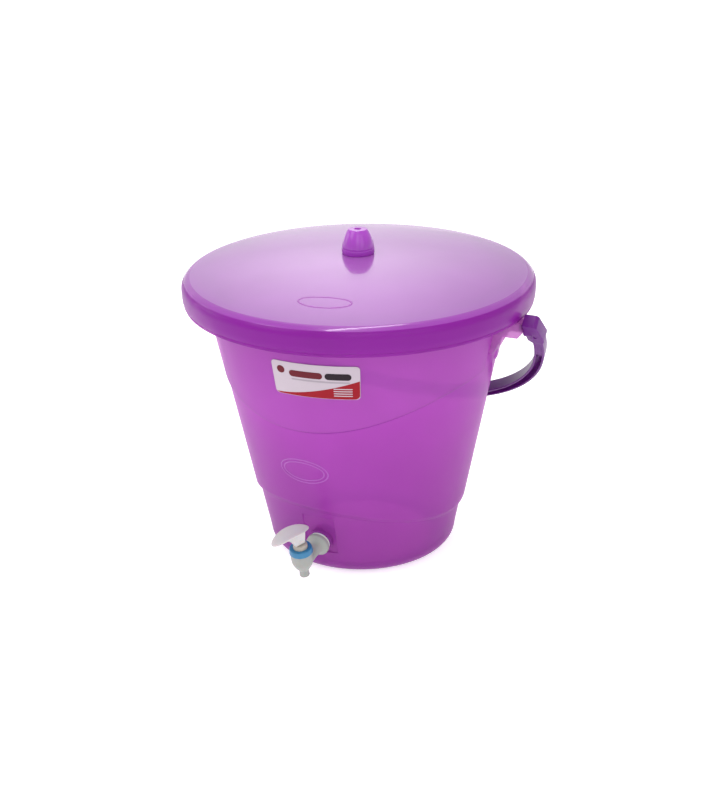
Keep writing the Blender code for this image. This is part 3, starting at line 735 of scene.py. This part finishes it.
def lid_look(face):
    """0 for the top, 1 for the skirt, 2 for the underside, 3 for the rolled edge. Faces are sorted
    by which way they point: the up-facing top gets a paler copy of the plastic as painted sheen,
    the rolled edge a middle one, and the side-facing skirt and the underside darker ones as painted
    shade.
    """
    x, y, _ = face.center
    radius = math.hypot(x, y)
    outward = (face.normal.x * x + face.normal.y * y) / max(radius, 0.001)
    if face.normal.z < -0.35 or outward < -0.2:
        return 2
    if outward > 0.75:
        return 1
    return 3 if outward > 0.25 and radius > 0.19 else 0


def knob_profile():
    base = LID_TOP + GAP
    top = base + KNOB_HEIGHT
    crown = arc((KNOB_TOP_RADIUS - 0.0010, top - 0.0010), 0.0010, 90.0, 10.0, 4)
    side = []
    for t in spaced(0.08, 0.74, 12):
        radius = KNOB_TOP_RADIUS + (KNOB_BASE_RADIUS - KNOB_TOP_RADIUS) * t
        side.append((radius + 0.0022 * math.sin(math.pi * t), top - KNOB_HEIGHT * t))
    foot = [(0.0182, base + 0.0070), (0.0182, base + 0.0064), (0.0190, base + 0.0060)]
    foot += [(0.0192, base + 0.0050), (0.0191, base + 0.0008), (0.0188, base)]
    inside = [(0.0160, base), (0.0150, base + 0.010), (0.0110, base + BOSS_HEIGHT + 0.002)]
    inside += [(0.0022, base + BOSS_HEIGHT + 0.002), (0.0022, top - 0.0050)]
    counterbore = [(0.0038, top - 0.0050), (0.0038, top - 0.0003), (0.0041, top)]
    return crown + side + foot + inside + counterbore


# ---------------------------------------------------------------- bail


def bail_section(is_solid):
    """Channel section (across, up) with rounded corners, or a solid one."""
    half = BAIL_WIDTH / 2
    wall, floor = 0.0028, 0.0040
    outer = BAIL_THICKNESS
    bed = 0.0008 - half if is_solid else half - floor
    ease = 0.0002 if is_solid else 0.0010
    bend = 0.0022
    section = [(bend, half), (outer - bend, half)]
    section += [(outer - bend * 0.3, half - bend * 0.3), (outer, half - bend)]
    section += [(outer, -half + 0.0006), (outer - 0.0006, -half), (outer - wall + 0.0004, -half)]
    section += [(outer - wall, -half + 0.0005), (outer - wall, bed - ease)]
    section += [(outer - wall - ease, bed), (wall + ease, bed)]
    section += [(wall, bed - ease), (wall, -half + 0.0005), (wall - 0.0004, -half)]
    section += [(0.0006, -half), (0.0, -half + 0.0006), (0.0, half - bend)]
    section += [(bend * 0.3, half - bend * 0.3)]
    return section


def bail_point(angle):
    """(inner point, outward direction) on the arch, in the bail's own plane."""
    inner = Vector((BAIL_INNER_X * math.cos(angle), BAIL_INNER_REACH * math.sin(angle), 0.0))
    outer = Vector((
        (BAIL_INNER_X + BAIL_THICKNESS) * math.cos(angle),
        (BAIL_INNER_REACH + BAIL_THICKNESS) * math.sin(angle), 0.0,
    ))
    return inner, (outer - inner).normalized()


def make_bail():
    rings = []
    stops = spaced(0.0, 180.0, 129) + [SOLID_ARM, SOLID_ARM + 0.4]
    stops += [180.0 - SOLID_ARM, 180.0 - SOLID_ARM - 0.4]
    for degrees in sorted(stops):
        inner, out = bail_point(math.radians(degrees))
        section = bail_section(min(degrees, 180.0 - degrees) < SOLID_ARM + 0.2)
        rings.append([inner + out * across + Vector((0, 0, up)) for across, up in section])
    bail = lofted("bail", rings)
    half = BAIL_WIDTH / 2
    for side in (-1, 1):
        half_x = (BAIL_END_OUTER - BAIL_END_INNER) / 2
        middle_x = side * (BAIL_END_INNER + BAIL_END_OUTER) / 2
        outline = [
            (-half_x, -BAIL_TAIL), (half_x - 0.0060, -BAIL_TAIL),
            (half_x - 0.0030, -BAIL_TAIL + 0.003), (half_x, 0.0100), (half_x - 0.0004, 0.0140),
            (half_x - 0.0026, 0.0200), (-half_x + 0.0054, 0.0200), (-half_x, 0.0130),
        ]
        points = [(middle_x + side * x, y, -half) for x, y in outline]
        end = extruded("end", points, (0.0, 0.0, BAIL_WIDTH), 0.0010)
        pocket_low = (middle_x - 0.0040, -0.0010, -half - 0.001)
        pocket = block("pocket", pocket_low, (middle_x + 0.0026, 0.0060, -half + 0.006), 0.0006)
        cut(end, pocket)
        boss = rod("boss", KNUCKLE_RADIUS, (side * 0.2072, 0, 0), (side * 0.2160, 0, 0))
        pin = rod("pin", 0.0040, (side * 0.2005, 0, 0), (side * 0.2160, 0, 0))
        join(bail, end, boss, pin)
    place(bail, Matrix.Translation((0, 0, PIVOT_HEIGHT)) @ Matrix.Rotation(-BAIL_LEAN, 4, "X"))
    return ridden(bail, "bail", "bail_handle")


# ---------------------------------------------------------------- label


def patch(name, outline, bottom, top):
    """A flat outline (along, up) bent on the band, from bottom to top above its surface."""
    bm = bmesh.new()
    bm.faces.new([bm.verts.new((along, up, 0.0)) for along, up in outline])
    low = min(point[0] for point in outline)
    high = max(point[0] for point in outline)
    cuts = max(2, int((high - low) / 0.003))
    for along in spaced(low, high, cuts + 1)[1:-1]:
        bmesh.ops.bisect_plane(
            bm, geom=bm.verts[:] + bm.edges[:] + bm.faces[:], dist=1e-7,
            plane_co=(along, 0, 0), plane_no=(1, 0, 0),
        )
    made = bmesh.ops.extrude_face_region(bm, geom=bm.faces[:])
    for item in made["geom"]:
        if isinstance(item, bmesh.types.BMVert):
            item.co.z = 1.0
    point = on_wall(LABEL_CENTRE, LABEL_MIDDLE, BAND_RISE)
    for vert in bm.verts:
        vert.co = point(vert.co.x, vert.co.y, top if vert.co.z > 0.5 else bottom)
    return from_bmesh(name, bm)


def rounded_rectangle(half_width, half_height, radius):
    outline = []
    for x, y, start in (
        (half_width, half_height, 0.0), (-half_width, half_height, 90.0),
        (-half_width, -half_height, 180.0), (half_width, -half_height, 270.0),
    ):
        centre = (x - math.copysign(radius, x), y - math.copysign(radius, y))
        outline += arc(centre, radius, start, start + 90.0, 7)
    return outline


def shifted(outline, along, up):
    return [(x + along, y + up) for x, y in outline]


def make_label(film, red, rust, ink, grey):
    """The label with a plain red wave and plain bars, each a thin patch of its own."""
    outline = rounded_rectangle(LABEL_HALF_WIDTH, LABEL_HALF_HEIGHT, LABEL_CORNER)
    label = patch("label_film", outline, 0.00035, 0.00068)
    paint(ridden(label, "bucket", "front_label"), film)
    wave = [(-0.0485 + 0.0980 * t, -0.0190 + 0.0215 * t ** 1.6) for t in spaced(0.0, 1.0, 25)]
    wave += [(0.0495, -0.0165), (0.0480, -0.0190), (0.0450, -0.0206), (-0.0450, -0.0206)]
    swoosh = patch("label_swoosh", wave, 0.00050, 0.00078)
    paint(ridden(swoosh, "bucket", None), red)
    bars = [
        ("label_bar_a", 0.0190, 0.0040, -0.0100, 0.0075, rust),
        ("label_bar_b", 0.0145, 0.0040, 0.0262, 0.0075, ink),
        ("label_line", 0.0330, 0.0009, 0.0060, 0.0002, grey),
        ("label_spot", 0.0046, 0.0046, -0.0390, 0.0105, rust),
    ]
    for row in range(4):
        bars.append((f"label_row_{row}", 0.0105, 0.0006, 0.0310, -0.0078 - 0.0029 * row, film))
    for name, half_width, half_height, along, up, look in bars:
        corner = min(half_width, half_height) * 0.98
        bar = shifted(rounded_rectangle(half_width, half_height, corner), along, up)
        paint(ridden(patch(name, bar, 0.0005, 0.0009), "bucket", None), look)


# ---------------------------------------------------------------- tap


def upright(obj):
    return place(obj, tap_place() @ Matrix.Translation((0.0, TAP_AXIS_Y, 0.0)))


def along_neck(obj):
    return place(obj, Matrix.Rotation(math.radians(90.0), 4, "X"))


def make_tap_body():
    bulb = [(0.0, 0.0230), (0.0100, 0.0230), (0.0100, 0.0200), (0.0120, 0.0198)]
    bulb += [(0.0127, 0.0192), (0.0129, 0.0150), (0.0128, 0.0095), (0.0125, 0.0065)]
    bulb += [(0.0117, 0.0038), (0.0104, 0.0010), (0.0089, -0.0015), (0.0076, -0.0034)]
    bulb += [(0.0066, -0.0047), (0.0060, -0.0056), (0.0057, -0.0066), (0.0056, -0.0078)]
    bulb += [(0.0056, -0.0122), (0.0059, -0.0128), (0.0059, -0.0138), (0.0057, -0.0142)]
    bulb += [(0.0, -0.0142)]
    body = place(turned("tap_shell", bulb), Matrix.Translation((0, TAP_AXIS_Y, 0)))
    face = TAP_BOSS + GAP + GASKET + GAP
    neck = [(0.0, 0.0460), (0.0068, 0.0460), (0.0069, 0.0360), (0.0071, 0.0270)]
    neck += [(0.0080, face + 0.0110), (0.0090, face + 0.0085), (0.0106, face + 0.0066)]
    neck += [(0.0122, face + 0.0055), (0.0133, face + 0.0049), (0.0139, face + 0.0042)]
    neck += [(0.0142, face + 0.0032), (0.0142, face + 0.0005), (0.0139, face), (SHANK_RADIUS, face)]
    thread = -0.0070
    while thread > -0.0170:
        neck += [(SHANK_RADIUS, thread), (SHANK_RADIUS - 0.0006, thread - 0.0007)]
        thread -= 0.0014
    neck += [(0.0074, -0.0186), (0.0, -0.0186)]
    join(body, along_neck(turned("neck", neck)))
    chamber = [(0.0, 0.0400), (0.0088, 0.0400), (0.0088, 0.0080), (0.0082, 0.0040)]
    chamber += [(0.0066, 0.0000), (0.0056, -0.0008), (0.0040, -0.0018), (0.0040, -0.0250)]
    chamber += [(0.0, -0.0250)]
    cut(body, place(turned("chamber", chamber), Matrix.Translation((0, TAP_AXIS_Y, 0))))
    bore = [(0.0, 0.0480), (0.0042, 0.0480), (0.0042, 0.0200), (0.0055, 0.0100)]
    bore += [(0.0055, -0.0300), (0.0, -0.0300)]
    cut(body, along_neck(turned("bore", bore, steps=48)))
    return place(body, tap_place())


def make_bonnet():
    profile = [(0.0021, 0.0325), (0.0066, 0.0325), (0.0074, 0.0322), (0.0080, 0.0315)]
    profile += [(0.0084, 0.0300), (0.0085, 0.0256), (0.0099, 0.0254), (0.0099, 0.0233)]
    profile += [(0.0085, 0.0233), (0.0085, 0.0195), (0.0060, 0.0195), (0.0060, 0.0271)]
    profile += [(0.0030, 0.0272), (0.0021, 0.0276)]
    return upright(turned("tap_bonnet_cap", profile, closed=True))


def make_collar():
    profile = [(0.0087, 0.0272), (0.0119, 0.0272), (0.0127, 0.0270), (0.0131, 0.0264)]
    profile += [(0.0134, 0.0248), (0.0138, 0.0220), (0.0139, 0.0212), (0.0139, 0.0206)]
    profile += [(0.0136, 0.0201), (0.0130, 0.0199), (0.0103, 0.0203), (0.0103, 0.0257)]
    profile += [(0.0087, 0.0257)]
    return upright(turned("tap_screw_collar", profile, closed=True))


def lever_place():
    at_pin = Matrix.Translation((0.0, TAP_AXIS_Y, LEVER_PIN_HEIGHT))
    return tap_place() @ at_pin @ Matrix.Rotation(TAP_TURN, 4, "Z")


def make_lever():
    bm = bmesh.new()
    bmesh.ops.create_uvsphere(bm, u_segments=64, v_segments=24, radius=1.0)
    bmesh.ops.scale(bm, vec=(PADDLE_HALF_WIDTH, PADDLE_HALF_LENGTH, 0.0024), verts=bm.verts)
    for vert in bm.verts:
        across, along = vert.co.x / PADDLE_HALF_WIDTH, vert.co.y / PADDLE_HALF_LENGTH
        vert.co.z += 0.0030 * across ** 2 - 0.0018 * along ** 2
    lean = Matrix.Rotation(PADDLE_TILT, 3, "X")
    bmesh.ops.rotate(bm, cent=(0, 0, 0), matrix=lean, verts=bm.verts)
    bmesh.ops.translate(bm, vec=(0.0, -0.0110, 0.0118), verts=bm.verts)
    lever = from_bmesh("tap_paddle", bm, 60.0)
    outline = [
        (0.0048, -0.0058), (0.0058, 0.0000), (0.0070, 0.0080), (0.0050, 0.0116),
        (-0.0210, 0.0100), (-0.0150, 0.0062), (-0.0096, 0.0000), (-0.0080, -0.0058),
    ]
    points = [(-0.0043, y, z) for y, z in outline]
    web = extruded("web", points, (0.0086, 0.0, 0.0), 0.0008)
    join(lever, web)
    slot = block("slot", (-0.0021, -0.0060, -0.0100), (0.0021, 0.0080, 0.0040))
    hole = rod("hole", 0.0012, (-0.008, 0, 0), (0.008, 0, 0))
    cut(lever, slot, hole)
    place(lever, lever_place())
    return ridden(lever, "lever", "tap_lever")


# ---------------------------------------------------------------- camera, lights and floor


def make_camera():
    a, p, y = (math.radians(turn) for turn in (CAMERA_AZIMUTH, CAMERA_PITCH, CAMERA_YAW))
    right = Vector((math.cos(a), math.sin(a), 0.0))
    ahead = Vector((-math.sin(a), math.cos(a), 0.0)) * math.cos(y) + right * math.sin(y)
    forward = ahead * math.cos(p) - Vector((0, 0, 1)) * math.sin(p)
    right = forward.cross(Vector((0, 0, 1))).normalized()
    up = right.cross(forward)
    right = (right - up * CAMERA_ROLL).normalized()
    up = right.cross(forward)
    camera = bpy.data.cameras.new("camera")
    camera.sensor_fit = "HORIZONTAL"
    camera.sensor_width = 36.0
    camera.lens = CAMERA_LENS
    camera.clip_start = 0.05
    obj = bpy.data.objects.new("camera", camera)
    bpy.context.scene.collection.objects.link(obj)
    matrix = Matrix((right, up, -forward)).transposed().to_4x4()
    away = CAMERA_DISTANCE
    matrix.translation = (away * math.sin(a), -away * math.cos(a), CAMERA_HEIGHT)
    obj.matrix_world = matrix
    bpy.context.scene.camera = obj


def area_light(name, place_at, target, size, power):
    data = bpy.data.lights.new(name, "AREA")
    data.shape = "RECTANGLE"
    data.size, data.size_y = size
    data.energy = power
    obj = bpy.data.objects.new(name, data)
    bpy.context.scene.collection.objects.link(obj)
    obj.location = place_at
    aim = Vector(target) - Vector(place_at)
    obj.rotation_euler = aim.to_track_quat("-Z", "Y").to_euler()
    return obj


def sky_strength(tree):
    """Even light all round, with a broad brighter band that rises in a tilted vertical plane and
    is brightest at mid height. It gives the lid its soft sheen."""

    def node(kind, **settings):
        made = tree.nodes.new(kind)
        for key, value in settings.items():
            setattr(made, key, value)
        return made

    link = tree.links.new
    direction = node("ShaderNodeTexCoord").outputs["Generated"]
    across = node("ShaderNodeVectorMath", operation="DOT_PRODUCT")
    across.inputs[1].default_value = SKY_BAND_ACROSS
    link(direction, across.inputs[0])
    moved = node("ShaderNodeMath", operation="ADD")
    moved.inputs[1].default_value = SKY_BAND_OFFSET
    link(across.outputs["Value"], moved.inputs[0])
    off_centre = node("ShaderNodeMath", operation="ABSOLUTE")
    link(moved.outputs["Value"], off_centre.inputs[0])
    width = node("ShaderNodeMapRange", interpolation_type="SMOOTHSTEP")
    width.inputs["From Max"].default_value = SKY_BAND_HALF_WIDTH
    width.inputs["To Min"].default_value = 1.0
    width.inputs["To Max"].default_value = 0.0
    link(off_centre.outputs["Value"], width.inputs["Value"])
    split = node("ShaderNodeSeparateXYZ")
    link(direction, split.inputs["Vector"])
    height = node("ShaderNodeValToRGB")
    steps = height.color_ramp.elements
    steps[0].position, steps[0].color = 0.02, (0.25, 0.25, 0.25, 1)
    steps[1].position, steps[1].color = 0.85, (0.40, 0.40, 0.40, 1)
    for position, value in ((0.20, 0.32), (0.36, 0.90), (0.50, 0.95), (0.70, 0.62)):
        steps.new(position).color = (value, value, value, 1)
    link(split.outputs["Z"], height.inputs["Fac"])
    band = node("ShaderNodeMath", operation="MULTIPLY")
    link(width.outputs["Result"], band.inputs[0])
    link(height.outputs["Color"], band.inputs[1])
    total = node("ShaderNodeMath", operation="MULTIPLY_ADD")
    total.inputs[1].default_value = SKY_BAND_STRENGTH
    total.inputs[2].default_value = SKY_STRENGTH
    link(band.outputs["Value"], total.inputs[0])
    return total.outputs["Value"]


def make_stage():
    world = bpy.data.worlds.new("studio")
    world.use_nodes = True
    tree = world.node_tree
    sky = tree.nodes["Background"]
    sky.inputs["Color"].default_value = (1.0, 1.0, 1.0, 1.0)
    tree.links.new(sky_strength(tree), sky.inputs["Strength"])
    bpy.context.scene.world = world
    bpy.context.scene.view_settings.view_transform = "Standard"
    area_light("key", (-1.3, -1.6, 1.9), (0, 0, 0.2), (1.2, 1.2), 9.0)
    area_light("fill", (1.8, -1.2, 1.2), (0, 0, 0.2), (1.0, 1.4), 4.0)
    area_light("strip", (-0.10, 0.0, 2.2), (0, 0, 0.3), (1.9, 0.14), 11.0)
    area_light("left", (-2.2, -0.3, 0.9), (0, 0, 0.3), (1.0, 0.8), 4.0)
    bm = bmesh.new()
    bmesh.ops.create_circle(bm, cap_ends=True, segments=96, radius=FLOOR_RADIUS)
    floor = from_bmesh("floor", bm)
    floor.location.z = -FLOOR_DROP
    n = Nodes("pale_floor")
    base = n.add("ShaderNodeBsdfDiffuse", in_Color=(0.80, 0.80, 0.80, 1.0))
    lift = n.add("ShaderNodeEmission", in_Strength=FLOOR_GLOW)
    both = n.add("ShaderNodeAddShader")
    n.link(base, 0, both, 0)
    n.link(lift, 0, both, 1)
    n.surface(both)
    paint(floor, n.material)
    floor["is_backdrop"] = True


def make_bucket_and_lid():
    # low=0.64 below paints shade on the wall: its colours darken from FADE_TOP towards the floor.
    wall = frosted(
        "frosted_violet", (0.475, 0.070, 0.56), (0.70, 0.18, 0.78),
        roughness=0.36, clear=0.32, coat=0.25, specular=0.3, low=0.64,
    )
    band = frosted(
        "frosted_violet_band", (0.50, 0.105, 0.575), (0.73, 0.27, 0.80),
        roughness=0.34, clear=0.42, coat=0.25, specular=0.3,
    )
    # The band's edge gets a near-black copy of the plastic: painted shade under the down-facing
    # ledge of the raised band.
    edge = frosted(
        "frosted_violet_edge_shade", (0.22, 0.018, 0.30), (0.36, 0.05, 0.46),
        roughness=0.35, clear=0.16, coat=0.0, specular=0.2,
    )
    inside = frosted(
        "frosted_violet_inside", (0.475, 0.07, 0.56), (0.70, 0.18, 0.78),
        roughness=0.45, clear=0.84, coat=0.0, specular=0.1,
    )
    ear = frosted(
        "frosted_violet_ear", (0.55, 0.20, 0.60), (0.74, 0.42, 0.78), roughness=0.32, clear=0.55
    )
    # The ovals get a paler copy of the plastic: a painted highlight on their raised rings.
    emblem = frosted(
        "frosted_violet_emblem_highlight", (0.52, 0.14, 0.60), (0.66, 0.25, 0.74),
        roughness=0.30, clear=0.20, coat=0.5,
    )
    # The lid's top, rolled edge, skirt and underside are copies of one plastic: the top is paler as
    # painted sheen, and the skirt and underside are darker as painted shade.
    top = frosted(
        "frosted_violet_lid_sheen", (0.40, 0.125, 0.50), (0.54, 0.15, 0.64),
        roughness=0.24, clear=0.10, coat=0.75, specular=0.5, soft=0.3, wavy=0.10,
    )
    roll = frosted(
        "frosted_violet_roll", (0.35, 0.035, 0.45), (0.50, 0.08, 0.60),
        roughness=0.20, clear=0.10, coat=1.0, specular=0.5, soft=0.3,
    )
    skirt = frosted(
        "frosted_violet_skirt_shade", (0.27, 0.010, 0.34), (0.42, 0.03, 0.50),
        roughness=0.30, clear=0.10, coat=0.1, specular=0.25,
    )
    under = frosted(
        "frosted_violet_under_shade", (0.34, 0.04, 0.42), (0.52, 0.10, 0.60),
        roughness=0.45, clear=0.45, coat=0.0, specular=0.1,
    )
    pull = frosted(
        "frosted_violet_knob", (0.44, 0.055, 0.58), (0.66, 0.13, 0.76),
        roughness=0.22, clear=0.10, coat=1.0,
    )
    paint_faces(make_bucket(), bucket_look, wall, band, edge, inside, ear)
    make_body_ovals(emblem)
    paint_faces(make_lid(), lid_look, top, skirt, under, roll)
    make_lid_oval(emblem)
    knob = turned("knob", knob_profile(), closed=True)
    paint(ridden(knob, "lid", "lid_knob"), pull)


def make_bail_and_label():
    dark = frosted(
        "dark_violet", (0.150, 0.012, 0.22), (0.30, 0.03, 0.40),
        roughness=0.32, clear=0.05, coat=0.10, specular=0.28, soft=0.3,
    )
    paint(make_bail(), dark)
    make_label(
        film=moulded("label_paper", (0.42, 0.355, 0.41), 0.50, 0.03),
        red=moulded("label_red", (0.255, 0.002, 0.010), 0.60, 0.05, specular=0.2),
        rust=moulded("label_rust", (0.105, 0.006, 0.014), 0.60, 0.05, specular=0.2),
        ink=moulded("label_ink", (0.014, 0.006, 0.012), 0.60, 0.05, specular=0.2),
        grey=moulded("label_grey", (0.30, 0.26, 0.30), 0.50, 0.05),
    )


def make_tap():
    white = moulded("milk_white", (0.28, 0.29, 0.275), 0.42, 0.03, subsurface=0.2)
    pale = moulded("paddle_white", (0.50, 0.485, 0.49), 0.38, 0.03, subsurface=0.2)
    cream = moulded("cream_white", (0.34, 0.31, 0.27), 0.42, 0.03)
    blue = moulded("tap_blue", (0.016, 0.150, 0.300), 0.38, 0.05, coat=0.1)
    silicone = moulded("silicone", (0.62, 0.62, 0.60), 0.55, 0.04, subsurface=0.3)
    metal = steel("stainless")
    paint(ridden(make_tap_body(), "bucket", "tap_body"), white)
    paint(ridden(make_bonnet(), "bucket", "tap_bonnet"), cream)
    paint(ridden(make_collar(), "bucket", "tap_collar"), blue)
    paint(make_lever(), pale)
    cad_looks = {
        "knob_screw": metal, "tap_outer_gasket": silicone, "tap_inner_gasket": silicone,
        "tap_back_nut": white, "tap_valve_plug": silicone, "tap_stem": white,
        "tap_stem_oring": silicone, "tap_spring": metal, "tap_lever_pin": metal,
    }
    for name, look in cad_looks.items():
        paint(nodes[name], look)


make_camera()
make_stage()
make_bucket_and_lid()
make_bail_and_label()
make_tap()
boxes = {"cad": cad_bounds, "visual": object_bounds()}
{k: [[float(c) for c in corner] for corner in v] for k, v in boxes.items()}
